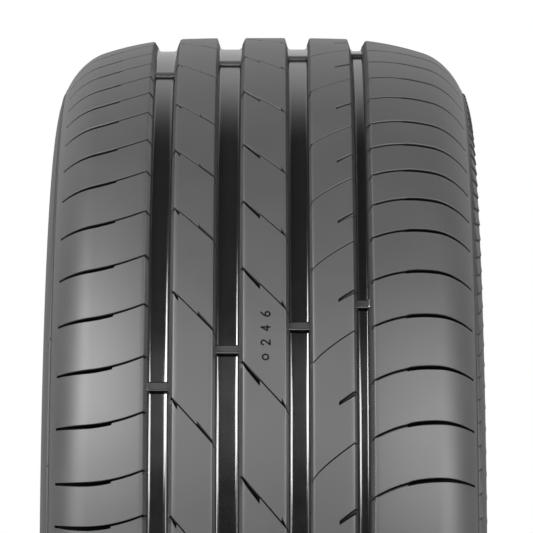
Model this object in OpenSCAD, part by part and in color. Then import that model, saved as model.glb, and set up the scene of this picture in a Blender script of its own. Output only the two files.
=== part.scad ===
// Radial car tyre of size 225/55 R17, moulded in one piece, without its rim.
// It spins about the Y axis, the origin is the wheel's centre and Z is up.
// Sections are drawn as [radius, lateral], slots as [lateral, along the tread].

/* [Casing] */
// Diameter of the bead seats, which is that of the rim
seat_d = 436.6; // [400:0.1:470]
// Height of the section from the bead seat to the middle of the tread
section_h = 121.2; // [104:0.1:140]
// Width of the tread across its shoulder edges
tread_w = 216; // [204:1:226]
// How far each sidewall stands out past the shoulder edge
side_bulge = 8.5; // [6:0.5:16]
// Place of the widest point as a share of the section's height
belly_at = 0.487; // [0.42:0.001:0.55]
// How far the outer face of each bead stands in from the widest place
bead_in = 27.5; // [20:0.5:36]
// Rubber and cord under the groove floors in the middle
under_tread = 9; // [6:0.5:13]
// Sidewall thickness at the widest place
side_wall = 7; // [4:0.5:10]

/* [Beads] */
// Width of one bead at its foot
bead_w = 20; // [14:0.5:24]
// Round of the heel, the outer corner of a bead
heel_r = 6; // [3:0.5:7]
// Bevel of the toe, the inner corner of a bead
toe_bevel = 2; // [1:0.25:3]
// Height of the straight outer face of a bead
flange_h = 12; // [9:0.5:14]
// Radius of the hollow that the rim flange fills
flange_r = 14; // [10:0.5:16]
// Height of the fine ring that shows the tyre sits true
rim_line = 0.8; // [0.4:0.1:1.5]

/* [Crown] */
// Width of the level middle of the crown
level_w = 24; // [10:1:34]
// Radius of the crown across the tyre
crown_r = 1000; // [800:10:2000]
// Width of the flatter middle of the crown
flat_w = 88; // [60:1:110]
// Radius that the crown falls away with outside it
side_r = 190; // [160:5:300]
// Radius of the rounded shoulder
shoulder_r = 24; // [21:0.5:32]
// Width of the rounded shoulder
shoulder_w = 18; // [12:0.5:20]
// Step of the ring that runs under the shoulder edge
ring_step = 0.6; // [0.3:0.1:1]

/* [Grooves] */
// Depth of the four grooves that run round the tread
groove_depth = 6.5; // [5:0.1:8]
// Middle of each groove's floor from the mid-plane, left to right
groove_at = [-54.2, -18.7, 18.7, 51.7]; // [-60:0.1:60]
// Width of each groove's floor with its rounded corners
groove_floor = [9.6, 11.2, 10, 5.2]; // [4:0.1:13]
// Spread of each groove's left wall from floor to edge
left_spread = [3.3, 2.1, 2, 2.2]; // [1:0.1:5]
// Spread of each groove's right wall from floor to edge
right_spread = [2.7, 2.8, 2.2, 3.4]; // [1:0.1:5]
// Radius of the corners between floor and wall
floor_r = 1.4; // [0.6:0.1:2]
// Width of the bevel on the edges of the ribs
edge_bevel = 0.9; // [0.4:0.1:1.4]
// Rows of wear bars round the tyre
bar_rows = 8; // [6:1:10]
// Height of a wear bar above the groove floor
bar_h = 1.6; // [1.2:0.1:2]
// Length of a wear bar along its groove
bar_len = 3.8; // [2.5:0.1:6]
// Angle of the first wear bar in each groove, left to right
bar_start = [22.5, 26.1, 28.5, 30.5]; // [0:0.1:44]

/* [Pitches] */
// Long, middle and short pitches in the order they follow round the tyre
pitch_order = "LLLMSSMMLLMSSSMLMSSMLLMSSSMLMSSMLLLMSS";
// Length of a long pitch along the tread
long_pitch = 64; // [60:0.5:72]
// Length of a middle pitch
mid_pitch = 58; // [54:0.5:62]
// Length of a short pitch
short_pitch = 48; // [44:0.5:53]
// Angle where the order starts on the left shoulder
left_start = 14.4; // [-30:0.1:30]
// Angle where it starts on the left rib
rib_a_start = -0.6; // [-30:0.1:30]
// Angle where it starts on the middle rib
rib_b_start = -7.9; // [-30:0.1:30]
// Angle where it starts on the right rib
rib_c_start = -8; // [-30:0.1:30]
// Angle where it starts on the right shoulder
right_start = -4.1; // [-30:0.1:30]

/* [Shoulder slots] */
// Depth of a shoulder slot beside its groove
slot_depth = 5.6; // [3:0.1:6.5]
// Depth of a shoulder slot at its outer end
slot_end_depth = 3; // [1.5:0.1:4]
// Room between the outer end of a slot and the shoulder edge
slot_land = 1; // [0.5:0.1:3]
// Width of the narrow inner stretch of a slot
slot_thin = 1.1; // [0.7:0.05:1.6]
// Width of the wide middle stretch of a slot
slot_wide = 2; // [1.6:0.05:2.6]
// Length of the narrow stretch on the left shoulder
left_thin_len = 17; // [10:0.5:24]
// How far the left slots sag along the tread
left_sag = 5; // [2:0.1:8]
// Length of the narrow stretch on the right shoulder
right_thin_len = 16.5; // [10:0.5:24]
// How far the right slots rise along the tread
right_rise = 11.9; // [6:0.1:16]

/* [Rib sipes] */
// Depth of the cuts in the ribs
sipe_depth = 4.8; // [3:0.1:6.5]
// Width of the cuts in the ribs
sipe_w = 0.7; // [0.5:0.05:1.2]
// Fall of a sipe along the tread for each millimetre across the left and middle ribs
sipe_fall = 1.19; // [0.8:0.01:1.5]
// Length across the rib of the wedge that opens a sipe of the left rib
wedge_a_len = 2.6; // [1.5:0.1:8]
// Length across the rib of the wedge that opens a sipe of the middle rib
wedge_b_len = 8.7; // [5:0.1:12]
// Opening of those wedges along the tread
wedge_open = 3.1; // [1.5:0.1:4.5]
// Rise of a sipe along the tread across the whole right rib
sipe_rise = 19.3; // [12:0.1:26]
// Length across the rib of the short notch in the right rib
notch_len = 8; // [4:0.1:12]
// Width of that notch along the tread
notch_w = 2.7; // [1.5:0.1:4]
// Place of that notch along the tread past the middle of its pitch
notch_shift = 9.4; // [0:0.1:16]

/* [Hidden] */
$fn = 144;

seat_r = seat_d / 2;
tyre_r = seat_r + section_h;
belly_r = seat_r + belly_at * section_h;
edge_a = tread_w / 2;
belly_a = edge_a + side_bulge;
bead_a = belly_a - bead_in;
over = 4;              // how far a cutter passes the surface it opens
edge_round = 4;        // steps of the rounded shoulder
bulge_from = 30;       // where on its quarter turn the upper sidewall starts
bulge_to = 60;         // where on its quarter turn the lower sidewall ends
liner_power = 0.77;    // squareness of the air chamber's outline

// Radius of the tread surface at a lateral place
function crown(a) =
    tyre_r - pow(max(0, abs(a) - level_w / 2), 2) / (2 * crown_r)
    - pow(max(0, abs(a) - flat_w / 2), 2) / (2 * side_r)
    - shoulder_drop(max(0, abs(a) - edge_a + shoulder_w));

// Extra fall of the rounded shoulder, a part of a circle
function shoulder_drop(u) = shoulder_r - sqrt(shoulder_r * shoulder_r - u * u);

// Even places from one lateral position to another, both ends included
function places(from, to, n) = [for (i = [0:n]) from + (to - from) * i / n];

// Lateral places of one groove's edges on the tread surface
function left_edge(g) = groove_at[g] - groove_floor[g] / 2 - left_spread[g];
function right_edge(g) = groove_at[g] + groove_floor[g] / 2 + right_spread[g];

// Section of one groove from its left edge to its right edge
function groove(g) =
    let (
        floor_l = groove_at[g] - groove_floor[g] / 2,
        floor_r_a = groove_at[g] + groove_floor[g] / 2,
        base = crown(groove_at[g]) - groove_depth
    )
    [
        [crown(left_edge(g)), left_edge(g)],
        [crown(left_edge(g)) - edge_bevel, left_edge(g) + edge_bevel / 2],
        for (t = [15:25:90]) [base + floor_r * (1 - sin(t)), floor_l + floor_r * (1 - cos(t))],
        for (t = [90:-25:15]) [base + floor_r * (1 - sin(t)), floor_r_a - floor_r * (1 - cos(t))],
        [crown(right_edge(g)) - edge_bevel, right_edge(g) - edge_bevel / 2],
        [crown(right_edge(g)), right_edge(g)]
    ];

// Tread surface from shoulder edge to shoulder edge, grooves included
function tread_line() = [
    for (a = places(-edge_a, -edge_a + shoulder_w, edge_round)) [crown(a), a],
    let (a = (-edge_a + shoulder_w + left_edge(0)) / 2) [crown(a), a],
    for (g = [0:3]) each groove(g),
    let (a = (right_edge(3) + edge_a - shoulder_w) / 2) [crown(a), a],
    for (a = places(edge_a - shoulder_w, edge_a, edge_round)) [crown(a), a]
];

// Outside of the right half below the shoulder edge, down to the toe
function side_line() =
    let (
        top_r = crown(edge_a) - 6 * ring_step,
        top_a = edge_a + 4 * ring_step,
        bulge_a = (belly_a - top_a) / (1 - sin(bulge_from)),
        bulge_h = (top_r - belly_r) / cos(bulge_from),
        low_r = seat_r + flange_h + flange_r,
        low_a = bead_a + flange_r,
        tuck_a = (belly_a - low_a) / (1 - cos(bulge_to)),
        tuck_h = (belly_r - low_r - 2 * rim_line) / sin(bulge_to)
    )
    [
        [crown(edge_a) - 2.5 * ring_step, edge_a + ring_step / 2],
        [crown(edge_a) - 3.5 * ring_step, edge_a + 3 * ring_step],
        [crown(edge_a) - 5 * ring_step, edge_a + 4.5 * ring_step],
        for (t = [bulge_from:12:90]) [belly_r + bulge_h * cos(t), belly_a - bulge_a * (1 - sin(t))],
        for (t = [12:12:bulge_to]) [belly_r - tuck_h * sin(t), belly_a - tuck_a * (1 - cos(t))],
        [low_r + rim_line, low_a + rim_line],
        for (t = [0:18:90]) [low_r - flange_r * (1 - cos(t)), low_a - flange_r * sin(t)],
        for (t = [0:18:90]) [seat_r + heel_r * (1 - sin(t)), bead_a - heel_r * (1 - cos(t))],
        [seat_r, bead_a - bead_w + toe_bevel],
        [seat_r + toe_bevel, bead_a - bead_w]
    ];

// Inside of the right half, from above the toe to the middle of the tread
function liner_line() =
    let (
        chamber_a = belly_a - side_wall,
        chamber_h = tyre_r - groove_depth - under_tread - belly_r,
        neck_r = seat_r + flange_h + bead_w / 2,
        neck_a = bead_a - bead_w / 2
    )
    [
        for (t = [90:-15:15])
            [belly_r - (belly_r - neck_r) * sin(t), chamber_a - (chamber_a - neck_a) * (1 - cos(t))],
        for (t = [0:10:80])
            [belly_r + chamber_h * pow(sin(t), liner_power), chamber_a * pow(cos(t), liner_power)]
    ];

// The same points on the other side of the mid-plane, in the opposite order
function mirrored(line) = [for (i = [len(line) - 1:-1:0]) [line[i][0], -line[i][1]]];

module section() {
    polygon(concat(
        tread_line(), side_line(), liner_line(),
        mirrored(liner_line()), mirrored(side_line())
    ));
}

// Turns a section drawn as [radius, lateral] about the tyre's axis
module turned() {
    rotate([-90, 0, 0]) rotate_extrude() children();
}

// Puts a radial cutter with the outline [lateral, along the tread] at an angle round the tyre
module radial(angle, low) {
    rotate([0, -angle, 0])
        translate([low, 0, 0])
            rotate([90, 0, 90])
                linear_extrude(tyre_r + over - low)
                    children();
}

// Running total of the pitches, so that the last entry is the whole way round
function pitch_len(i) =
    i >= pitches ? 0 : pitch_order[i] == "L" ? long_pitch : pitch_order[i] == "M" ? mid_pitch : short_pitch;
pitches = len(pitch_order);
pitch_end = [for (i = 0, s = 0; i <= pitches; s = s + pitch_len(i), i = i + 1) s];

// Angle of a place in the order, where a half is the middle of a pitch
function pitch_angle(start, i) =
    let (k = floor(i), s = pitch_end[k] + (i - k) * (pitch_end[min(k + 1, pitches)] - pitch_end[k]))
    start + 360 * s / pitch_end[pitches];

// Line of a left slot along the tread at a lateral place, a sagging curve
inner_l = left_edge(0);
outer_l = -edge_a + slot_land;
low_l = inner_l + 0.58 * (outer_l - inner_l);
function left_slot(a) = a > low_l
    ? -left_sag + left_sag * pow((a - low_l) / (inner_l - low_l), 2)
    : -left_sag + 0.7 * left_sag * pow((a - low_l) / (outer_l - low_l), 2);

// Line of a right slot, which rises and flattens towards its outer end
inner_r = right_edge(3);
outer_r = edge_a - slot_land;
function right_slot(a) = right_rise * (1 - pow(max(0, (outer_r - a) / (outer_r - inner_r)), 2.7));

// Closed outline between a curve and the same curve lowered by a width that changes along it
function ribbon(across, line, width) = concat(
    [for (i = [0:len(across) - 1]) [across[i], line[i] + slot_thin / 2]],
    [for (i = [len(across) - 1:-1:0]) [across[i], line[i] + slot_thin / 2 - width[i]]]
);

// Outline of a slot: narrow from the groove to a step, wide past it and narrowing to its end
module left_outline() {
    step_a = inner_l - left_thin_len;
    across = [inner_l + over, inner_l - 5, step_a, step_a - 1, low_l - 5, outer_l];
    polygon(ribbon(across, [for (a = across) left_slot(a)],
        [slot_thin, slot_thin, slot_thin, slot_wide, slot_wide, slot_thin]));
}

module right_outline() {
    step_a = inner_r + right_thin_len;
    across = [inner_r - over, inner_r + 3, inner_r + 9, step_a, step_a + 1, step_a + 14, outer_r];
    polygon(ribbon(across, [for (a = across) right_slot(a)],
        [slot_thin, slot_thin, slot_thin, slot_thin, slot_wide, slot_wide, slot_thin]));
}

// Sipe of the left or middle rib: a falling cut that opens in a wedge at its left end
module falling_sipe(from, to, wedge_len) {
    function line(a) = -sipe_fall * (a - from);
    slit = sipe_w * sqrt(1 + sipe_fall * sipe_fall);
    polygon([
        [from - over, line(from - over) + slit / 2],
        [to + over, line(to + over) + slit / 2],
        [to + over, line(to + over) - slit / 2],
        [from + wedge_len, line(from + wedge_len) - slit / 2],
        [from + wedge_len, line(from + wedge_len) - wedge_open],
        [from - over, line(from - over) - slit / 2]
    ]);
}

// Sipe of the right rib: a rising cut, steeper where it starts
module rising_sipe(from, to) {
    across = [from - over, from + 2, from + 0.45 * (to - from), to + over];
    function line(a) = sipe_rise * pow(max(0, a - from) / (to - from), 0.82);
    slit = sipe_w * 1.3;
    polygon(concat(
        [for (a = across) [a, line(a) + slit / 2]],
        [for (i = [len(across) - 1:-1:0]) [across[i], line(across[i]) - slit / 2]]
    ));
}

module rib_notch(to) {
    slope = sipe_rise / (left_edge(3) - right_edge(2));
    polygon([
        [to - notch_len, notch_shift],
        [to + over, notch_shift + slope * (notch_len + over)],
        [to + over, notch_shift + slope * (notch_len + over) - notch_w],
        [to - notch_len, notch_shift - notch_w]
    ]);
}

// Block that a slot on the right shoulder is kept to, so that its floor falls with the shoulder
module slot_block() {
    bend = edge_a - shoulder_w - 2;
    block = 4 * right_rise;
    translate([0, 0, -block / 2])
        linear_extrude(block)
            polygon([
                [crown(inner_r) - slot_depth, inner_r - 2 * over],
                [crown(bend) - slot_depth - 1, bend],
                [crown(outer_r) - slot_end_depth, outer_r + over],
                [tyre_r + 2 * over, outer_r + over],
                [tyre_r + 2 * over, inner_r - 2 * over]
            ]);
}

// One slot of a shoulder, at an angle round the tyre
module shoulder_slot(angle, side) {
    low = crown(edge_a) - slot_end_depth - 2 * over;
    intersection() {
        radial(angle, low) children();
        rotate([0, -angle, 0]) mirror([0, side < 0 ? 1 : 0, 0]) slot_block();
    }
}

// Every cut across the tread
module cuts() {
    for (i = [0:pitches - 1]) {
        for (half = [0, 0.5]) {
            shoulder_slot(pitch_angle(left_start, i + half), -1) left_outline();
            shoulder_slot(pitch_angle(right_start, i + half), 1) right_outline();
        }
        radial(pitch_angle(rib_a_start, i), crown(right_edge(0)) - sipe_depth)
            falling_sipe(right_edge(0), left_edge(1), wedge_a_len);
        radial(pitch_angle(rib_b_start, i), tyre_r - sipe_depth)
            falling_sipe(right_edge(1), left_edge(2), wedge_b_len);
        radial(pitch_angle(rib_c_start, i), crown(left_edge(3)) - sipe_depth)
            rising_sipe(right_edge(2), left_edge(3));
        radial(pitch_angle(rib_c_start, i + 0.5), crown(left_edge(3)) - sipe_depth)
            rib_notch(left_edge(3));
    }
}

// Bars that stand in the grooves and show when the tread is worn down
module wear_bars() {
    for (g = [0:3], row = [0:bar_rows - 1]) {
        base = crown(groove_at[g]) - groove_depth;
        span = groove_floor[g] + (left_spread[g] + right_spread[g]) * bar_h / groove_depth;
        rotate([0, -bar_start[g] - row * 360 / bar_rows, 0])
            translate([base - 1, groove_at[g] - span / 2, -bar_len / 2])
                cube([1 + bar_h, span, bar_len]);
    }
}

module tyre() {
    color([0.16, 0.16, 0.17])
    union() {
        difference() {
            turned() section();
            cuts();
        }
        wear_bars();
    }
}

tyre();
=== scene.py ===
import math

import bpy
import numpy as np
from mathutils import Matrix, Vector


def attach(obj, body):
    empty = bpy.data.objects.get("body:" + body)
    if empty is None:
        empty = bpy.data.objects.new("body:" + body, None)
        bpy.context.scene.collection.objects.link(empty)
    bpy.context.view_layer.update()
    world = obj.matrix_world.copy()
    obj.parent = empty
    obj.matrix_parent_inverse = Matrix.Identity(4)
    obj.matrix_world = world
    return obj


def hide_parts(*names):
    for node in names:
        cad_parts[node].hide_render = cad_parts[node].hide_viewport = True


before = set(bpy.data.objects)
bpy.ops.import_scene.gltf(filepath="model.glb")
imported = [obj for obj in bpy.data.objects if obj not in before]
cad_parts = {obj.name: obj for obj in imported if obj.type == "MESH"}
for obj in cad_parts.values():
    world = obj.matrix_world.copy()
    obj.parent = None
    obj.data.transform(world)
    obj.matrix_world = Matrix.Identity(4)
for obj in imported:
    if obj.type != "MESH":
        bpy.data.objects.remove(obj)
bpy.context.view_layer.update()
print("frame loaded")

mm = 0.001  # the sizes below are millimetres, the scene is in metres

# Casing: half section from the crown down to the bead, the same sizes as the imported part
casing = {
    "radius": 339.5,
    "levelWidth": 24, "crownRound": 1000,      # level middle, then a gentle fall
    "flatWidth": 88, "sideRound": 190,         # steeper fall outside the flatter middle
    "shoulderRound": 24, "shoulderWidth": 18,  # rounded shoulder
    "treadWidth": 216,
    "halfWidth": 116.5, "bellyRadius": 277.3,  # widest place of the sidewall
    "seatRadius": 218.3, "beadHalf": 89,
    "linerHalf": 109.5,
}

# Grooves from left to right: edges on the tread, floor between the feet of the walls, round at each foot
grooves = {
    "leftEdge": [-62.3, -26.4, 11.7, 46.9],
    "rightEdge": [-46.7, -10.3, 25.9, 57.7],
    "floorLeft": [-59.0, -24.3, 13.7, 49.1],
    "floorRight": [-49.4, -13.1, 23.7, 54.3],
    "leftRound": [2.1, 2.1, 2.1, 2.2],
    "rightRound": [3.0, 2.4, 2.3, 1.3],
    "depth": 6.5,
    "edgeRound": (0.12, 0.5), "edgeDrop": 0.1,  # small round where a wall meets the tread
    "paintedWallShade": 0.68,                          # painted shade on the groove walls: extra depth in a cut, up to this, for the rubber's tone
    "hiddenEnd": 2.4,                           # height at which the floor's section ends behind a wall
}

# Pitches: the pattern repeats in three lengths, in a mixed order so that the tyre doesn't hum
# the last five values are the angles at which the first pitch of each band starts
pitches = {
    "order": "LLLMSSMMLLMSSSMLMSSMLLMSSSMLMSSMLLLMSS",
    "length": {"L": 64, "M": 58, "S": 48},
    "leftShoulder": 14.4, "leftRib": -0.6, "middleRib": -7.9, "rightRib": -8.0, "rightShoulder": -4.1,
}

degreesPerMm = 180 / math.pi / casing["radius"]  # turn of one millimetre along the tread


# radius = middle radius - fall of the crown - fall of the side stretch - fall of the round shoulder
def crownRadius(lateral):
    side = np.abs(lateral)
    past = lambda start: np.maximum(0, side - start)
    shoulderStart = casing["treadWidth"] / 2 - casing["shoulderWidth"]
    roundShare = np.minimum(past(shoulderStart), casing["shoulderRound"] - 1)
    return (casing["radius"]
            - past(casing["levelWidth"] / 2) ** 2 / (2 * casing["crownRound"])
            - past(casing["flatWidth"] / 2) ** 2 / (2 * casing["sideRound"])
            - casing["shoulderRound"] + np.sqrt(casing["shoulderRound"] ** 2 - roundShare ** 2))


# start angle of each pitch = angle of the first + 360 x running length / whole length
def pitchStarts(name, parts=1):
    lengths = np.array([pitches["length"][kind] for kind in pitches["order"]], float)
    ends = np.concatenate([[0], np.cumsum(lengths)]) / lengths.sum()
    places = np.arange(0, len(lengths), 1 / parts)
    return pitches[name] + 360 * np.interp(places, np.arange(len(ends)), ends)


# x = radius cos(angle), y = lateral, z = radius sin(angle), with the angle in degrees from +X towards +Z
def ringPoints(angle, radius, lateral):
    angle, radius, lateral = np.broadcast_arrays(np.radians(angle), radius, lateral)
    return np.stack([radius * np.cos(angle), lateral, radius * np.sin(angle)], axis=-1) * mm


# four corners of each face of a grid whose rows close on themselves and whose columns run across
def gridFaces(rows, columns, closed=True):
    index = np.arange(rows * columns).reshape(rows, columns)
    after = np.roll(index, -1, axis=0)
    if not closed:
        index, after = index[:-1], after[:-1]
    return np.stack([index[:, :-1], index[:, 1:], after[:, 1:], after[:, :-1]], axis=-1).reshape(-1, 4)


# one mesh from several grids of points, each with its own faces
# its "under" attribute is how deep each point counts as lying in a cut, in millimetres; the rubber paints shade
# from it
def makePiece(name, grids, material, under=None, sharpAngle=20):
    points = np.concatenate([grid.reshape(-1, 3) for grid, faces in grids])
    starts = np.cumsum([0] + [grid.size // 3 for grid, faces in grids])
    corners = np.concatenate([faces + start for (grid, faces), start in zip(grids, starts)])
    mesh = bpy.data.meshes.new(name)
    mesh.vertices.add(len(points))
    mesh.vertices.foreach_set("co", points.astype(np.float32).ravel())
    mesh.loops.add(corners.size)
    mesh.loops.foreach_set("vertex_index", corners.astype(np.int32).ravel())
    mesh.polygons.add(len(corners))
    mesh.polygons.foreach_set("loop_start", np.arange(0, corners.size, 4, dtype=np.int32))
    mesh.polygons.foreach_set("use_smooth", np.ones(len(corners), bool))
    mesh.update(calc_edges=True)
    mesh.validate()
    mesh.set_sharp_from_angle(angle=math.radians(sharpAngle))
    if under is not None:
        mesh.attributes.new("under", "FLOAT", "POINT").data.foreach_set("value", under.astype(np.float32))
    mesh.materials.append(material)
    piece = bpy.data.objects.new(name, mesh)
    bpy.context.scene.collection.objects.link(piece)
    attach(piece, "root")
    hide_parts("tyre")
    print(name, "has", 2 * len(corners), "triangles")


# Rubber: satin on the ribs, glossy where the mould's steel was polished, dull on the sidewalls
# "tone" is the face's own grey; the grey inside the cuts, from "deepFrom" to "deepTo" mm deep, is painted shade
rubbers = {
    "treadRubber": {
        "tone": 0.055, "cutShadeTone": 0.007, "deepFrom": 0.25, "deepTo": 1.2,
        "specular": 0.8, "index": 1.5, "roughness": 0.46, "cloudSize": 28, "grain": 0.00003,
    },
    "grooveRubber": {
        "tone": 0.011, "cutShadeTone": 0.011, "deepFrom": 0, "deepTo": 1,
        "specular": 1.0, "index": 1.7, "roughness": 0.17, "cloudSize": 90, "grain": 0.00001,
    },
    "sidewallRubber": {
        "tone": 0.042, "cutShadeTone": 0.006, "deepFrom": 0.3, "deepTo": 1.6,
        "specular": 0.45, "index": 1.5, "roughness": 0.5, "cloudSize": 28, "grain": 0.00003,
    },
}
rubberSpread = {
    "tone": 0.1, "roughness": 0.05,            # how far the clouds change them: a share, and as it is
    "cutShine": 0.15,                          # share of the specular left in the depth of a cut, as painted shade
    "grainSize": 1400,
}


# Map Range node: result = first end + share of the source between its own ends x (second end - first end)
# an end is a number or another node's output
def addRange(tree, source, sourceEnds, ends):
    node = tree.nodes.new("ShaderNodeMapRange")
    node.inputs["From Min"].default_value, node.inputs["From Max"].default_value = sourceEnds
    tree.links.new(source, node.inputs["Value"])
    for key, end in zip(("To Min", "To Max"), ends):
        if isinstance(end, bpy.types.NodeSocket):
            tree.links.new(end, node.inputs[key])
        else:
            node.inputs[key].default_value = end
    return node.outputs["Result"]


# noise in the object's own space
def addNoise(tree, scale, detail):
    place = tree.nodes.new("ShaderNodeTexCoord")
    noise = tree.nodes.new("ShaderNodeTexNoise")
    noise.inputs["Scale"].default_value = scale
    noise.inputs["Detail"].default_value = detail
    tree.links.new(place.outputs["Object"], noise.inputs["Vector"])
    return noise.outputs["Fac"]


# tone = face tone turning into the painted shade tone with the depth of the cuts, x 0.9 to 1.1 by slow clouds
# shine = specular falling the same way, painted shade too, roughness = its own value +- its spread by the clouds
def makeRubber(name):
    values = rubbers[name]
    material = bpy.data.materials.new(name)
    material.use_nodes = True
    tree = material.node_tree
    shader = tree.nodes["Principled BSDF"]
    shader.inputs["IOR"].default_value = values["index"]
    cloud = addNoise(tree, values["cloudSize"], 5)               # slow variation of the cured rubber
    grain = addNoise(tree, rubberSpread["grainSize"], 3)         # fine grain of the mould
    under = tree.nodes.new("ShaderNodeAttribute")
    under.attribute_name = "under"
    depth, deepEnds = under.outputs["Fac"], (values["deepFrom"], values["deepTo"])
    low, high = 1 - rubberSpread["tone"], 1 + rubberSpread["tone"]
    tones = [addRange(tree, cloud, (0, 1), (values[key] * low, values[key] * high)) for key in ("tone", "cutShadeTone")]
    # painted shade: the deeper a point counts in a cut, the darker its tone and the less its shine
    tone = addRange(tree, depth, deepEnds, tones)
    shine = addRange(tree, depth, deepEnds, (values["specular"], values["specular"] * rubberSpread["cutShine"]))
    rough, spread = values["roughness"], rubberSpread["roughness"]
    gloss = addRange(tree, cloud, (0, 1), (rough - spread, rough + spread))
    bump = tree.nodes.new("ShaderNodeBump")
    bump.inputs["Distance"].default_value = values["grain"]
    tree.links.new(grain, bump.inputs["Height"])
    tree.links.new(tone, shader.inputs["Base Color"])
    tree.links.new(shine, shader.inputs["Specular IOR Level"])
    tree.links.new(gloss, shader.inputs["Roughness"])
    tree.links.new(bump.outputs["Normal"], shader.inputs["Normal"])
    return material


treadRubber, grooveRubber, sidewallRubber = [makeRubber(name) for name in rubbers]
print("rubber mixed")


# edge on the tread and foot at the floor of a groove's wall; side is -1 for the left wall, 1 for the right one
def wallEnds(groove, side):
    if side < 0:
        return grooves["leftEdge"][groove], grooves["floorLeft"][groove]
    return grooves["rightEdge"][groove], grooves["floorRight"][groove]


# radius of a groove's floor = crown's radius at the middle of the floor - depth
def floorRadius(groove):
    middle = (grooves["floorLeft"][groove] + grooves["floorRight"][groove]) / 2
    return crownRadius(middle) - grooves["depth"]


# wall of a groove from the foot of its round up to the edge: place and radius of each point
# place = straight line from the foot to the edge, with a small round at the edge
def wallLine(groove, side):
    edge, foot = wallEnds(groove, side)
    base, top = floorRadius(groove), crownRadius(edge)
    near, far = [edge + side * reach for reach in grooves["edgeRound"]]
    share = np.array([-0.04, 0.25, 0.6, 0.88, 0.97])             # from under the floor to just under the edge
    place = np.append(foot + share * (edge - foot), [near, far])
    height = np.append(base + share * (top - base), [top - grooves["edgeDrop"], crownRadius(far)])
    return place, height


# columns across a band: up the wall of its left groove, over the crown, down the wall of its right groove
# a shoulder ends at outerEdge instead; two columns stand close together where a slot changes its width at once
def bandColumns(leftGroove, rightGroove, step, breaks, outerEdge=None):
    up = [] if leftGroove is None else [wallLine(leftGroove, 1)]
    down = [] if rightGroove is None else [[line[::-1] for line in wallLine(rightGroove, -1)]]
    low = up[0][0][-1] if up else -outerEdge
    high = down[0][0][0] if down else outerEdge
    plain = np.linspace(low, high, int(round((high - low) / step)) + 1)
    plain = plain[1 if up else 0:-1 if down else None]
    doubled = np.array([place + shift for place in breaks for shift in (-0.06, 0.06)])
    near = np.abs(plain[:, None] - doubled).min(axis=1) < 0.35 * step
    crown = np.sort(np.concatenate([plain[~near], doubled]))
    return [np.concatenate(lines) for lines in zip(*up, (crown, crownRadius(crown)), *down)]


# steps of a cut from its low side to its high side, as offsets along the tread and depths below the crown:
# edge, chamfer or shelf, top of the low wall, its foot, floor, foot of the high wall, its top, edge
def cutSteps(cut, places):
    keys = ("depth", "low", "high", "lowSlope", "highSlope", "lowDrop", "highDrop")
    depth, low, high, lowSlope, highSlope, lowDrop, highDrop = [np.interp(places, *cut[key]) for key in keys]
    shelfShare, shelf = 0.5, lowDrop / 2
    if "shelf" in cut:
        shelfShare, shelf = cut["shelfShare"], np.interp(places, *cut["shelf"])
    offsets = np.stack([
        low - lowSlope, low - lowSlope * shelfShare, low, low + cut["draft"], (low + high) / 2,
        high - cut["draft"], high, high + highSlope,
    ])
    foot = depth - 0.3
    depths = np.stack([
        0 * depth, shelf, lowDrop, np.maximum(foot, lowDrop), depth,
        np.maximum(foot, highDrop), highDrop, 0 * depth,
    ])
    return offsets, np.where(depth > 0, depths, 0)


# band of the tread, cut across by the same slots at each pitch
# angle = start + (slot line + step offset) / radius; radius = smaller of the band's section and crown - step depth;
# the land between two slots is shared out evenly
def treadBand(starts, places, heights, line, cuts, landRows):
    lengths = np.diff(np.append(starts, starts[0] + 360))
    steps = []                                                   # for each cut: pitches x steps x columns
    for cut in cuts:
        offsets, depths = cutSteps(cut, places)
        begin = (starts + cut["share"] * lengths)[:, None, None]
        angles = begin + (line(places) + cut["shift"] + offsets) * degreesPerMm
        steps.append((angles, np.broadcast_to(np.minimum(heights, crownRadius(places) - depths), angles.shape)))
    firstRow = steps[0][0][:, :1]
    nextPitch = np.append(firstRow[1:], firstRow[:1] + 360, axis=0)
    following = [angles[:, :1] for angles, radii in steps[1:]] + [nextPitch]
    share = (np.arange(1, landRows + 1) / (landRows + 1))[:, None]
    bandAngles, bandRadii = [], []
    for (angles, radii), nextRow in zip(steps, following):
        lastRow = angles[:, -1:]
        land = lastRow + share * (nextRow - lastRow)
        bandAngles += [angles, land]
        bandRadii += [radii, np.broadcast_to(heights, land.shape)]
    return [np.concatenate(rows, axis=1).reshape(-1, len(places)) for rows in (bandAngles, bandRadii)]


# a value that is given at some places across the tyre and runs straight between them
def along(*pairs):
    return np.array(pairs, float).T


# a value that is the same all across the tyre
def always(value):
    return along((-200, value), (200, value))


# What every cut has where its own values don't say more: draft of the walls and small chamfers
# low and high are the edges of a cut along the tread, a slope and its drop are the width and depth of a chamfer
plainCut = {
    "share": 0, "shift": 0, "draft": 0.12,     # start as a share of the pitch, and millimetres past it
    "lowSlope": always(0.2), "highSlope": always(0.2),
    "lowDrop": always(0.15), "highDrop": always(0.15),
}

# Left shoulder: slots that sag along the tread, narrow at the groove and wide outside the step
leftShoulder = {
    "outerEdge": 111.4, "columnStep": 1.6, "landRows": 5, "breaks": [-107.2, -78.0],
    "inner": -62.3, "outer": -107.0,
    "sag": 5.0, "lowest": 0.58, "outerRise": 0.7,
    "cut": {
        **plainCut,
        "depth": along((-107.26, 0), (-107.14, 2.4), (-104, 3.4), (-80, 5.2), (-50, 5.6)),
        "low": along((-107, -0.9), (-100, -1.4), (-90, -1.7), (-78.06, -1.6), (-77.94, -0.6), (-50, -0.55)),
        "high": along((-107, 0.7), (-90, 0.8), (-50, 0.55)),
    },
}


# slot line = -sag + sag x (share towards the groove)^2 inside the lowest place, 0.7 of that outside it
def leftSlotLine(place):
    inner, outer, sag = leftShoulder["inner"], leftShoulder["outer"], leftShoulder["sag"]
    low = inner + leftShoulder["lowest"] * (outer - inner)
    inward = np.clip((place - low) / (inner - low), 0, 1.3)
    outward = np.clip((place - low) / (outer - low), 0, 1.3)
    return -sag + sag * inward ** 2 + leftShoulder["outerRise"] * sag * outward ** 2


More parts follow.
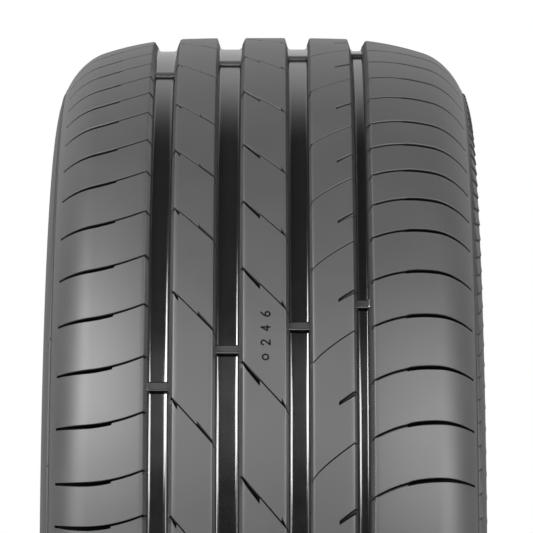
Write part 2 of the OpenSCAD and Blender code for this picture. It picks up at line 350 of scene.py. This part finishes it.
# Right shoulder: slots that rise and flatten, a thin cut with a low slope at first and wide outside the step
rightShoulder = {
    "outerEdge": 111.4, "columnStep": 1.6, "landRows": 5, "breaks": [74.2, 109.1],
    "inner": 57.7, "outer": 108.9,
    "rise": 11.9, "flattening": 2.7,
    "cut": {
        **plainCut,
        "depth": along((50, 5.6), (80, 5.2), (104, 3.4), (109.04, 2.4), (109.16, 0)),
        "low": along((50, -0.4), (74.14, -0.4), (74.26, -1.6), (90, -1.7), (100, -1.3), (109, -0.7)),
        "high": along((50, 0.4), (74, 0.4), (76, 0.8), (95, 0.8), (109, 0.6)),
        "lowSlope": along((57.5, 0.2), (58.5, 1.1), (74.14, 1.1), (74.26, 0.2), (107, 0.2)),
        "lowDrop": along((57.5, 0.15), (58.5, 1.0), (74.14, 1.0), (74.26, 0.15), (107, 0.15)),
    },
}


# slot line = rise x (1 - (share from the outer end)^2.7)
def rightSlotLine(place):
    inner, outer = rightShoulder["inner"], rightShoulder["outer"]
    share = np.clip((outer - place) / (outer - inner), 0, 1.2)
    return rightShoulder["rise"] * (1 - share ** rightShoulder["flattening"])


# Left rib: a falling sipe that opens in a short wedge at its left and has a slope above its right half, dark from
# painted shade
leftRib = {
    "columnStep": 1.5, "landRows": 10, "breaks": [-44.3, -34.1], "fall": 1.19, "from": -46.7,
    "cut": {
        **plainCut,
        "depth": always(4.8),
        "low": along((-50, -0.6), (-47.2, -0.8), (-46.2, -2.3), (-44.36, -3.4), (-44.24, -0.52), (-20, -0.52)),
        "high": along((-50, 0.5), (-46.7, 0.5), (-44.36, -0.4), (-44.24, 0.5), (-20, 0.5)),
        "highSlope": along((-46.7, 0.2), (-44.36, 1.1), (-44.24, 0.2), (-34.16, 0.2),
                           (-34.04, 2.2), (-26.4, 1.2), (-20, 1.2)),
        "highDrop": along((-46.7, 0.15), (-44.36, 1.2), (-44.24, 0.15), (-34.16, 0.15), (-34.04, 2.0), (-20, 2.0)),
    },
}

# Middle rib: a falling sipe with a long wedge at its left and a small one at its right
middleRib = {
    "columnStep": 1.5, "landRows": 10, "breaks": [-1.8, 9.4], "fall": 1.19, "from": -10.3,
    "cut": {
        **plainCut,
        "depth": always(4.8),
        "low": along((-14, -0.6), (-10.9, -0.8), (-9.6, -2.5), (-1.86, -3.7), (-1.74, -0.52), (14, -0.52)),
        "high": along((-10.3, 0.5), (-1.86, -0.9), (-1.74, 0.5), (9.34, 0.5), (9.46, 1.4), (11.7, 0.6), (14, 0.5)),
        "highSlope": along((-10.3, 0.2), (-1.86, 1.6), (-1.74, 0.2), (9.34, 0.2),
                           (9.46, 1.8), (11.7, 0.5), (14, 0.3)),
        "highDrop": along((-10.3, 0.15), (-1.86, 1.8), (-1.74, 0.15), (9.34, 0.15),
                          (9.46, 1.8), (11.7, 0.6), (14, 0.3)),
    },
}

# Right rib: a long rising sipe, and between two of them a short pocket with a low shelf at the right edge
rightRib = {
    "columnStep": 1.5, "landRows": 5, "breaks": [39.0], "from": 25.9, "to": 46.9,
    "rise": 19.3, "curve": 0.82,
    "sipe": {**plainCut, "draft": 0.1, "depth": always(4.8), "low": always(-0.42), "high": always(0.42)},
    "pocket": {
        **plainCut,
        "share": 0.5, "shift": -3.2,
        "depth": along((38.94, 0), (39.06, 4.5), (60, 4.8)),
        "low": along((38.94, -1.7), (40.2, -0.9), (47, -0.7), (60, -0.7)),
        "high": always(0.2),
        "lowSlope": along((38.94, 0.5), (40.2, 1.3), (47, 2.3), (60, 2.3)),
        "lowDrop": along((38.94, 0.6), (60, 0.7)),
        "shelf": along((38.94, 1.4), (40.2, 1.8), (60, 1.8)), "shelfShare": 0.88,
    },
}


# sipe line = -fall x distance from the rib's left edge
def fallingLine(rib):
    return lambda place: -rib["fall"] * (place - rib["from"])


# sipe line = rise x (share across the rib)^0.82, straight on outside the rib's left edge
def risingLine(place):
    share = (place - rightRib["from"]) / (rightRib["to"] - rightRib["from"])
    return rightRib["rise"] * np.where(share > 0, np.abs(share) ** rightRib["curve"], 1.6 * share)


# Depth scale pressed into the middle rib: a ring and the numbers 2, 4 and 6, read upwards, in millimetres
# it takes the place of some of the rib's faces; "finer" is how many rows and columns stand for one of the rib's
depthScale = {
    "pitches": [3, 14, 22, 31], "start": 2.9, "place": 1.1, "spacing": 8.6,
    "sink": 1.3, "stroke": 0.4, "soft": 0.16,
    "rows": (7, 16), "columns": (-1.75, 4.2), "finer": (30, 10),
    "signs": [
        [(1.55 * math.cos(turn * math.pi / 8), 1.55 * math.sin(turn * math.pi / 8)) for turn in range(17)],
        [(-1.35, 1.2), (-0.9, 2.0), (0.0, 2.3), (0.95, 1.95), (1.3, 1.1), (0.9, 0.1), (-1.4, -2.3), (1.4, -2.3)],
        [(0.6, -2.3), (0.6, 2.3), (-1.5, -0.9), (1.5, -0.9)],
        [(0.9, 2.3), (-0.5, 1.1), (-1.35, -0.5), (-1.3, -1.5), (-0.6, -2.25), (0.5, -2.3), (1.3, -1.6),
         (1.35, -0.7), (0.7, 0.1), (-0.3, 0.2), (-1.2, -0.4)],
    ],
}


# value between the rows and columns of a grid = sum of its four neighbours, each by its share
def between(grid, row, column):
    low = np.minimum(row.astype(int), len(grid) - 2)
    left = np.minimum(column.astype(int), grid.shape[1] - 2)
    up, right = (row - low)[:, None], (column - left)[None]
    return ((1 - up) * ((1 - right) * grid[np.ix_(low, left)] + right * grid[np.ix_(low, left + 1)])
            + up * ((1 - right) * grid[np.ix_(low + 1, left)] + right * grid[np.ix_(low + 1, left + 1)]))


# distance to the signs = length from a point to the nearest place on their straight strokes
def strokeDistance(upTread, across):
    starts, ends = [], []
    for count, sign in enumerate(depthScale["signs"]):
        points = np.array(sign) + (count * depthScale["spacing"], 0)
        starts.append(points[:-1])
        ends.append(points[1:])
    starts, ends = np.concatenate(starts), np.concatenate(ends)
    stretch = ends - starts
    offset = np.stack([upTread, across], axis=-1)[..., None, :] - starts
    share = np.clip((offset * stretch).sum(axis=-1) / (stretch ** 2).sum(axis=-1), 0, 1)
    return np.linalg.norm(offset - share[..., None] * stretch, axis=-1).min(axis=-1)


# rib's faces without those under the scale, and fine patches that fill their place
# radius = the rib's own - sink x (stroke - distance to the strokes) / soft, with that share kept from 0 to 1
def pressScale(angle, radius, places):
    rowsEach = len(angle) // len(pitches["order"])
    firstColumn, lastColumn = np.searchsorted(places, depthScale["columns"])
    kept = np.ones((len(angle), len(places) - 1), bool)
    starts, (finerRows, finerColumns) = pitchStarts("middleRib"), depthScale["finer"]
    patches, pressed = [], []
    for pitch in depthScale["pitches"]:
        firstRow, lastRow = np.array(depthScale["rows"]) + pitch * rowsEach
        kept[firstRow:lastRow, firstColumn:lastColumn] = False
        row = np.linspace(firstRow, lastRow, (lastRow - firstRow) * finerRows + 1)
        column = np.linspace(firstColumn, lastColumn, (lastColumn - firstColumn) * finerColumns + 1)
        fineAngle, fineRadius = between(angle, row, column), between(radius, row, column)
        finePlace = np.interp(column, np.arange(len(places)), places)
        upTread = (fineAngle - starts[pitch]) / degreesPerMm - depthScale["start"]
        across = np.broadcast_to(depthScale["place"] - finePlace, upTread.shape)
        share = np.clip((depthScale["stroke"] - strokeDistance(upTread, across)) / depthScale["soft"], 0, 1)
        sink = depthScale["sink"] * share
        patches.append((ringPoints(fineAngle, fineRadius - sink, finePlace[None]),
                        gridFaces(*fineAngle.shape, closed=False)))
        # the sink counts as depth in a cut, so the strokes get painted shade
        pressed.append(sink.ravel())
    return gridFaces(*angle.shape)[kept.ravel()], patches, pressed


# one band as a piece
# under = depth below the band's own section + depth of its walls below the crown, the latter capped at the walls'
# painted shade; the rubber paints shade from it
def addBand(name, values, starts, line, cuts, leftGroove, rightGroove):
    places, heights = bandColumns(leftGroove, rightGroove, values["columnStep"], values["breaks"],
                                  values.get("outerEdge"))
    angle, radius = treadBand(starts, places, heights, line, cuts, values["landRows"])
    faces, patches, pressed = gridFaces(*angle.shape), [], []
    if name == "middleRib":
        faces, patches, pressed = pressScale(angle, radius, places)
    # painted shade on the groove walls, counted as extra depth in a cut
    paintedWallShade = np.minimum(crownRadius(places) - heights, grooves["paintedWallShade"])
    under = np.concatenate([(heights - radius + paintedWallShade).ravel()] + pressed)
    makePiece(name, [(ringPoints(angle, radius, places[None]), faces)] + patches, treadRubber, under)


# bands from left to right: name, values, pitches, slot line, cuts, groove at its left and at its right
bands = [
    ("leftShoulder", leftShoulder, pitchStarts("leftShoulder", 2), leftSlotLine, [leftShoulder["cut"]],
     None, 0),
    ("leftRib", leftRib, pitchStarts("leftRib"), fallingLine(leftRib), [leftRib["cut"]], 0, 1),
    ("middleRib", middleRib, pitchStarts("middleRib"), fallingLine(middleRib), [middleRib["cut"]], 1, 2),
    ("rightRib", rightRib, pitchStarts("rightRib"), risingLine, [rightRib["sipe"], rightRib["pocket"]], 2, 3),
    ("rightShoulder", rightShoulder, pitchStarts("rightShoulder", 2), rightSlotLine, [rightShoulder["cut"]],
     3, None),
]
for band in bands:
    addBand(*band)
print("tread bands cut")

# Wear bars across the groove floors: angle of the first one in each groove, length along the tread and height
# "slit" and "foot" are degrees along the tread from the bar's lower foot; "profile" goes over the slit and the bar,
# in shares of the bar's height, with -1 for the slit's own depth
wearBars = {
    "rows": 8, "start": [22.2, 25.8, 28.2, 30.65],
    "length": 4.9, "height": 1.6,
    "slit": [-0.26, -0.24], "slitDepth": 1.6, "foot": [-0.06, 0.0, 0.05, 0.12],
    "profile": [0, -1, -1, 0.72, 0.95, 1, 1, 1, 0.95, 0.72, 0],
    "skin": 0.04,                              # how far the satin skin stands off the bar
    "paintedShade": 0.75,                             # painted shade on the bars, as a depth in a cut for the rubber's tone
}


# section of a groove's floor with a round at each foot, as places and radii
# place = foot - reach + round x sin(turn), radius = base + round x (1 - cos(turn))
def floorSection(groove):
    base, end, halves = floorRadius(groove), grooves["hiddenEnd"], []
    for side, rounds in ((-1, "leftRound"), (1, "rightRound")):
        edge, foot = wallEnds(groove, side)
        slope = math.atan2(crownRadius(edge) - base, abs(edge - foot))   # of the wall against the floor
        footRound = grooves[rounds][groove]
        reach = footRound * math.tan(slope / 2)                          # from the foot to each end of the round
        turn = np.linspace(0, slope, 9)
        place = foot - side * reach + side * footRound * np.sin(turn)
        height = base + footRound * (1 - np.cos(turn))
        behind = foot + side * (end / math.tan(slope) + 0.5)
        halves.append((np.append(place, behind), np.append(height, base + end)))
    (leftPlaces, leftHeights), (rightPlaces, rightHeights) = halves
    middle = np.linspace(leftPlaces[0], rightPlaces[0], 5)[1:-1]
    places = np.concatenate([leftPlaces[::-1], middle, rightPlaces])
    heights = np.concatenate([leftHeights[::-1], np.full(3, base), rightHeights])
    return places, heights


# floor turned about the axis with the wear bars across it
# radius = larger of the section's own and base + bar height x profile, or the section's own - slit depth
def grooveFloor(groove):
    base = floorRadius(groove)
    places, heights = floorSection(groove)
    barTurn, spacing = math.degrees(wearBars["length"] / base), 360 / wearBars["rows"]
    foot = np.array(wearBars["foot"])
    plain = np.linspace(barTurn + 0.4, spacing - 0.5, 84)
    order = np.concatenate([wearBars["slit"], foot, [barTurn / 2], (barTurn - foot)[::-1], plain])
    angle = wearBars["start"][groove] + (np.arange(wearBars["rows"])[:, None] * spacing + order).ravel()
    shape = np.tile(np.concatenate([wearBars["profile"], np.zeros(len(plain))]), wearBars["rows"])[:, None]
    bar = np.maximum(heights, base + wearBars["height"] * shape)
    slit = heights - wearBars["slitDepth"]
    radius = np.where(shape > 0, bar, np.where(shape < 0, slit, heights))
    return ringPoints(angle[:, None], radius, places[None]), gridFaces(len(angle), len(places))


# satin skin on the bars: radius = larger of the section's own and the bar's height, and a little more
def barTops(groove):
    base = floorRadius(groove)
    places, heights = floorSection(groove)
    barTurn = math.degrees(wearBars["length"] / base)
    turns = np.array([0.04, 0.12, barTurn / 2, barTurn - 0.14, barTurn - 0.08])
    shape = np.array([0.8, 1, 1, 1, 0.8])[:, None]
    radius = np.maximum(heights, base + wearBars["height"] * shape) + wearBars["skin"]
    starts = wearBars["start"][groove] + np.arange(wearBars["rows"]) * 360 / wearBars["rows"]
    return [(ringPoints((start + turns)[:, None], radius, places[None]), gridFaces(5, len(places), closed=False))
            for start in starts]


makePiece("grooveFloors", [grooveFloor(groove) for groove in range(4)], grooveRubber)
barPatches = [bar for groove in range(4) for bar in barTops(groove)]
# painted shade: the bars' skin counts as lying this deep in a cut
paintedBarShade = np.full(sum(points.size // 3 for points, faces in barPatches), wearBars["paintedShade"])
makePiece("wearBars", barPatches, treadRubber, paintedBarShade)

# Fine ridges across the walls of the grooves; low and high are shares of the wall's height
wallRidges = {
    "count": 2513, "height": 0.3, "low": 0.34, "high": 0.95,
    "walls": [(0, -1), (0, 1), (1, 1), (2, 1), (3, 1)],          # groove and side, one wall of each band
    "lean": [0.0, 0.0, 0.0, 0.0, -0.7],        # of each wall, along the tread for each millimetre across
    "clearBelow": 0.6, "clearAbove": 0.2,      # distance kept from a slot's mouth
}


# ridge = place on the wall + height x (1 on each second row, little between) along the wall's normal
# rows that meet a slot's mouth are left out
def ridgeStrip(groove, side, lean, starts, line, cuts):
    edge, foot = wallEnds(groove, side)
    base, top = floorRadius(groove), crownRadius(edge)
    wallLength = math.hypot(edge - foot, top - base)
    low, high = wallRidges["low"], wallRidges["high"]
    share = np.array([low, low + 0.05, high - 0.05, high])
    rise = np.where(np.arange(2 * wallRidges["count"])[:, None] % 2, 1, 0.1) * [0, 1, 1, 0] - [0.1, 0, 0, 0.1]
    rise = rise * wallRidges["height"]
    place = foot + share * (edge - foot) - side * rise * (top - base) / wallLength
    radius = base + share * (top - base) + rise * abs(edge - foot) / wallLength
    middle = np.arange(len(rise)) * 180 / wallRidges["count"]
    angle = middle[:, None] + lean * (share - 0.6) * (edge - foot) * degreesPerMm
    lengths = np.diff(np.append(starts, starts[0] + 360))
    free = np.ones(len(rise), bool)
    for cut in cuts:
        if np.interp(edge, *cut["depth"]) == 0:
            continue
        centre = starts + cut["share"] * lengths + (line(np.array([edge]))[0] + cut["shift"]) * degreesPerMm
        away = ((middle[:, None] - centre + 180) % 360 - 180) / degreesPerMm
        mouthLow = np.interp(edge, *cut["low"]) - np.interp(edge, *cut["lowSlope"])
        mouthHigh = np.interp(edge, *cut["high"]) + np.interp(edge, *cut["highSlope"])
        blocked = (away > mouthLow - wallRidges["clearBelow"]) & (away < mouthHigh + wallRidges["clearAbove"])
        free &= ~blocked.any(axis=1)
    faces = gridFaces(*angle.shape).reshape(len(rise), -1, 4)
    return ringPoints(angle, radius, place), faces[free & np.roll(free, -1)].reshape(-1, 4)


strips = [ridgeStrip(*wall, lean, *band[2:5])
          for wall, lean, band in zip(wallRidges["walls"], wallRidges["lean"], bands)]
makePiece("wallRidges", strips, treadRubber)
print("groove walls ridged")

# Sidewalls: section from the shoulder's edge over the belly to the bead
# "upper" holds heights from the crown's radius and places across, down to where the bulge begins
sidewall = {
    "rows": 480,
    "upper": [(-29.0, 111.1), (-30.6, 111.3), (-31.1, 112.2), (-32.2, 112.7), (-33.6, 112.9)],
    "bulgeFrom": 30, "bulgePoints": 21, "tuckTo": 60,            # degrees of a quarter that bulge and tuck use
    "flangeHeight": 12, "flangeRound": 14, "flangeGap": 1.6,
    "heelRound": 6, "toeBevel": 2, "beadWidth": 20,
}


# upper part = end of an ellipse's quarter from the shoulder to the belly, lower part = start of another one to the
# rim's flange, then the hollow for the flange and the heel as quarters of a circle, and the toe's bevel
def sidewallSection():
    upper = np.array([(casing["radius"] + drop, place) for drop, place in sidewall["upper"]])
    begin = upper[-1]
    belly = np.array([casing["bellyRadius"], casing["halfWidth"]])
    bulgeFrom, tuckTo = math.radians(sidewall["bulgeFrom"]), math.radians(sidewall["tuckTo"])
    turn = np.radians(np.linspace(sidewall["bulgeFrom"], 90, sidewall["bulgePoints"] + 1)[1:])
    high = (begin[0] - belly[0]) / math.cos(bulgeFrom)
    wide = (belly[1] - begin[1]) / (1 - math.sin(bulgeFrom))
    bulge = np.stack([belly[0] + high * np.cos(turn), belly[1] - wide * (1 - np.sin(turn))], axis=1)
    seat, bead, flangeRound = casing["seatRadius"], casing["beadHalf"], sidewall["flangeRound"]
    flangeTop = np.array([seat + sidewall["flangeHeight"] + flangeRound, bead + flangeRound])
    turn = np.radians(np.linspace(0, sidewall["tuckTo"], 16)[1:])
    tuckHigh = (belly[0] - flangeTop[0] - sidewall["flangeGap"]) / math.sin(tuckTo)
    tuckWide = (belly[1] - flangeTop[1]) / (1 - math.cos(tuckTo))
    tuck = np.stack([belly[0] - tuckHigh * np.sin(turn), belly[1] - tuckWide * (1 - np.cos(turn))], axis=1)
    turn = np.radians(np.linspace(0, 90, 12))
    hollow = np.stack([flangeTop[0] - flangeRound * (1 - np.cos(turn)), flangeTop[1] - flangeRound * np.sin(turn)],
                      axis=1)
    heel = np.stack([seat + sidewall["heelRound"] * (1 - np.sin(turn)),
                     bead - sidewall["heelRound"] * (1 - np.cos(turn))], axis=1)
    toe = np.array([[seat, bead - sidewall["beadWidth"] + sidewall["toeBevel"]],
                    [seat + sidewall["toeBevel"], bead - sidewall["beadWidth"]]])
    return np.concatenate([upper, bulge, tuck, hollow, heel, toe])


# Liner inside: neck above and inside the bead, rubber left under the grooves, how square its upper corner is
liner = {"rows": 240, "neckHeight": 22, "neckInset": 10, "underTread": 9, "squareness": 0.77}


# inside = toe to belly as a part of an ellipse, then a squarer quarter up to the middle of the crown
def linerSection():
    toe = sidewallSection()[-1]
    belly = np.array([casing["bellyRadius"], casing["linerHalf"]])
    neck = np.array([casing["seatRadius"] + liner["neckHeight"], casing["beadHalf"] - liner["neckInset"]])
    turn = np.radians(np.linspace(90, 0, 14))
    low = np.stack([belly[0] - (belly[0] - neck[0]) * np.sin(turn),
                    belly[1] - (belly[1] - neck[1]) * (1 - np.cos(turn))], axis=1)
    turn = np.radians(np.linspace(0, 90, 28)[1:])
    high = casing["radius"] - grooves["depth"] - liner["underTread"] - belly[0]
    dome = np.stack([belly[0] + high * np.sin(turn) ** liner["squareness"],
                     belly[1] * np.maximum(np.cos(turn), 0) ** liner["squareness"]], axis=1)
    return np.concatenate([[toe], low, dome])


# a section turned about the spin axis; the left side is the right one mirrored, with its faces turned round
def turnedRing(section, side, rows):
    angle = np.arange(rows) * 360 / rows
    faces = gridFaces(rows, len(section))
    return (ringPoints(angle[:, None], section[None, :, 0], section[None, :, 1] * side),
            faces[:, ::-1] if side < 0 else faces)


section = sidewallSection()
makePiece("rightSidewall", [turnedRing(section, 1, sidewall["rows"])], sidewallRubber)
makePiece("leftSidewall", [turnedRing(section, -1, sidewall["rows"])], sidewallRubber)
makePiece("airLiner", [turnedRing(linerSection(), side, liner["rows"]) for side in (1, -1)], sidewallRubber)
print("casing turned")

# Slanted saw teeth under the right shoulder: a tooth's parts are shares of its own width, and it leans in degrees
sawRing = {
    "teeth": 148, "first": 1.18, "outer": 309.0, "inner": 294.0, "lean": 3.0, "height": 0.8,
    "part": [0, 0.1, 0.45, 0.86], "rise": [0.05, 1, 0.6, 0.15],  # up at once, then down evenly
    "sunk": 0.05,                              # how far both ends go under the sidewall
    "paintedFootShade": 2.0,                          # painted shade on each tooth's steep foot, as a depth in a cut for the rubber's tone
}

# Small nubs of the mould's vents: angle of the first and radius, repeated round the tyre
nubs = {"size": 0.8, "repeats": 4, "right": [(25.6, 300.0)], "left": [(29.6, 313.0), (16.4, 309.0)]}


# place and outward normal of the sidewall above its belly at a radius, as (radius, lateral) pairs
def onSidewall(radius):
    upper = section[:len(sidewall["upper"]) + sidewall["bulgePoints"]]
    lateral = lambda at: np.interp(-at, -upper[:, 0], upper[:, 1])
    slope = lateral(radius - 0.5) - lateral(radius + 0.5)
    normal = np.stack([slope, np.ones_like(slope)], axis=-1)
    return np.stack([radius, lateral(radius)], axis=-1), normal / np.linalg.norm(normal, axis=-1, keepdims=True)


# tooth = place on the sidewall + height x rise along the normal
# angle = tooth and its part + lean x share of the ring's width
def sawTeeth():
    place, normal = onSidewall(np.linspace(sawRing["outer"], sawRing["inner"], 11))
    rise = np.tile(sawRing["rise"], sawRing["teeth"])[:, None] * np.array([0] + [1] * 9 + [0])
    rise = sawRing["height"] * rise - np.array([sawRing["sunk"]] + [0] * 9 + [sawRing["sunk"]])
    tooth = (np.arange(sawRing["teeth"])[:, None] + sawRing["part"]).ravel()
    angle = (tooth * 360 / sawRing["teeth"] + sawRing["first"])[:, None] + sawRing["lean"] * np.linspace(0, 1, 11)
    return (ringPoints(angle, place[:, 0] + rise * normal[:, 0], place[:, 1] + rise * normal[:, 1]),
            gridFaces(*angle.shape))


# nub = centre + size x (sine of height angle round the centre + cosine along the normal)
def ventNub(side, angle, radius):
    place, normal = onSidewall(np.array([radius]))
    (outRadius, outPlace), (centreRadius, centrePlace) = normal[0], place[0]
    around = np.radians(np.arange(12) * 30)[:, None]
    polar = np.radians([100, 75, 50, 25, 2])[None]
    down = nubs["size"] * np.sin(polar) * np.cos(around)         # along the section
    aside = nubs["size"] * np.sin(polar) * np.sin(around)        # along the tread
    up = nubs["size"] * np.cos(polar) + 0 * around
    radii = centreRadius + up * outRadius - down * outPlace
    places = centrePlace + up * outPlace + down * outRadius
    return ringPoints(angle + np.degrees(aside / radius), radii, places * side), gridFaces(12, 5)


# painted shade along the foot of each tooth
paintedFootShade = np.tile([sawRing["paintedFootShade"], 0, 0, 0], sawRing["teeth"])[:, None] * np.ones(11)
makePiece("sawRing", [sawTeeth()], sidewallRubber, paintedFootShade.ravel())
makePiece("ventNubs", [ventNub(side, angle + turn * 360 / nubs["repeats"], radius)
                       for side, name in ((1, "right"), (-1, "left"))
                       for angle, radius in nubs[name] for turn in range(nubs["repeats"])], sidewallRubber)
print("sidewalls marked")

# Stage: pale floor under the tyre, white surroundings behind it, softboxes round the camera, in metres
# turn = degrees from the camera's side towards the right, rise = degrees above the axle, size = width and height
stage = {
    "floorHalf": 40.0, "floorTone": 0.8, "floorRoughness": 0.7, "floorGap": 0.0005,
    "backTone": 0.72, "frontTone": 0.01, "backEnds": (-0.75, -0.35),
    "softboxDistance": 3.2,
    "softboxes": {
        "leftBox": {"power": 72, "turn": -42, "rise": 38, "size": (2.4, 1.2)},
        "leftFill": {"power": 34, "turn": -62, "rise": 44, "size": (1.2, 1.2)},
        "leftEdge": {"power": 22, "turn": -66, "rise": 20, "size": (1.2, 1.2)},
        "frontBox": {"power": 0.6, "turn": -6, "rise": 42, "size": (0.8, 1.3)},
        "rightBox": {"power": 62, "turn": 40, "rise": 34, "size": (2.4, 1.2)},
        "rightFill": {"power": 17, "turn": 56, "rise": 15, "size": (1.2, 1.2)},
        "rightEdge": {"power": 18, "turn": 68, "rise": 20, "size": (1.2, 1.2)},
    },
}


# one square, just under the tread: height = -(radius + gap)
def makeFloor():
    half, low = stage["floorHalf"], -casing["radius"] * mm - stage["floorGap"]
    corners = [(-half, -half, low), (half, -half, low), (half, half, low), (-half, half, low)]
    mesh = bpy.data.meshes.new("floor")
    mesh.from_pydata(corners, [], [(0, 1, 2, 3)])
    floor = bpy.data.objects.new("floor", mesh)
    material = bpy.data.materials.new("paleFloor")
    material.use_nodes = True
    shader = material.node_tree.nodes["Principled BSDF"]
    shader.inputs["Base Color"].default_value = (stage["floorTone"],) * 3 + (1,)
    shader.inputs["Roughness"].default_value = stage["floorRoughness"]
    mesh.materials.append(material)
    bpy.context.scene.collection.objects.link(floor)


# each softbox looks at the tyre's middle; place = distance x (cos rise cos turn, cos rise sin turn, sin rise)
def makeSoftboxes():
    for name, values in stage["softboxes"].items():
        light = bpy.data.lights.new(name, "AREA")
        light.shape = "RECTANGLE"
        light.size, light.size_y = values["size"]
        light.energy = values["power"]
        turn, rise = math.radians(values["turn"]), math.radians(values["rise"])
        place = Vector((math.cos(rise) * math.cos(turn), math.cos(rise) * math.sin(turn), math.sin(rise)))
        lamp = bpy.data.objects.new(name, light)
        lamp.location = place * stage["softboxDistance"]
        lamp.rotation_euler = (-place).to_track_quat("-Z", "Y").to_euler()
        bpy.context.scene.collection.objects.link(lamp)


# the world is white to the camera; for light and reflections it is pale behind the tyre and dim in front
# tone = back tone turning into the front tone along X, smoothly between the two ends
def makeWorld():
    world = bpy.data.worlds.new("surroundings")
    bpy.context.scene.world = world
    world.use_nodes = True
    nodes, links = world.node_tree.nodes, world.node_tree.links
    background = nodes["Background"]
    place = nodes.new("ShaderNodeTexCoord")
    split = nodes.new("ShaderNodeSeparateXYZ")
    links.new(place.outputs["Generated"], split.inputs["Vector"])
    tone = addRange(world.node_tree, split.outputs["X"], stage["backEnds"], (stage["backTone"], stage["frontTone"]))
    tone.node.interpolation_type = "SMOOTHSTEP"
    ray = nodes.new("ShaderNodeLightPath")
    mix = nodes.new("ShaderNodeMix")
    mix.data_type = "FLOAT"
    mix.inputs["B"].default_value = 1.0
    links.new(ray.outputs["Is Camera Ray"], mix.inputs["Factor"])
    links.new(tone, mix.inputs["A"])
    links.new(mix.outputs["Result"], background.inputs["Color"])
    background.inputs["Strength"].default_value = 1.0


makeFloor()
makeSoftboxes()
makeWorld()
print("stage set")

# Camera: at the axle's height in front of the tread, aimed up at the top of the tyre
view = {"distance": 3.191, "aside": 0.0048, "lens": 377.9, "sensor": 36, "aim": (0.0, 0.0013, 0.2102)}
camera = bpy.data.objects.new("camera", bpy.data.cameras.new("camera"))
camera.data.lens = view["lens"]
camera.data.sensor_width = view["sensor"]
camera.data.clip_end = 100
camera.location = (view["distance"], view["aside"], 0)
camera.rotation_euler = (Vector(view["aim"]) - camera.location).to_track_quat("-Z", "Y").to_euler()
bpy.context.scene.collection.objects.link(camera)
bpy.context.scene.camera = camera
bpy.context.scene.view_settings.view_transform = "Standard"
print("camera placed")
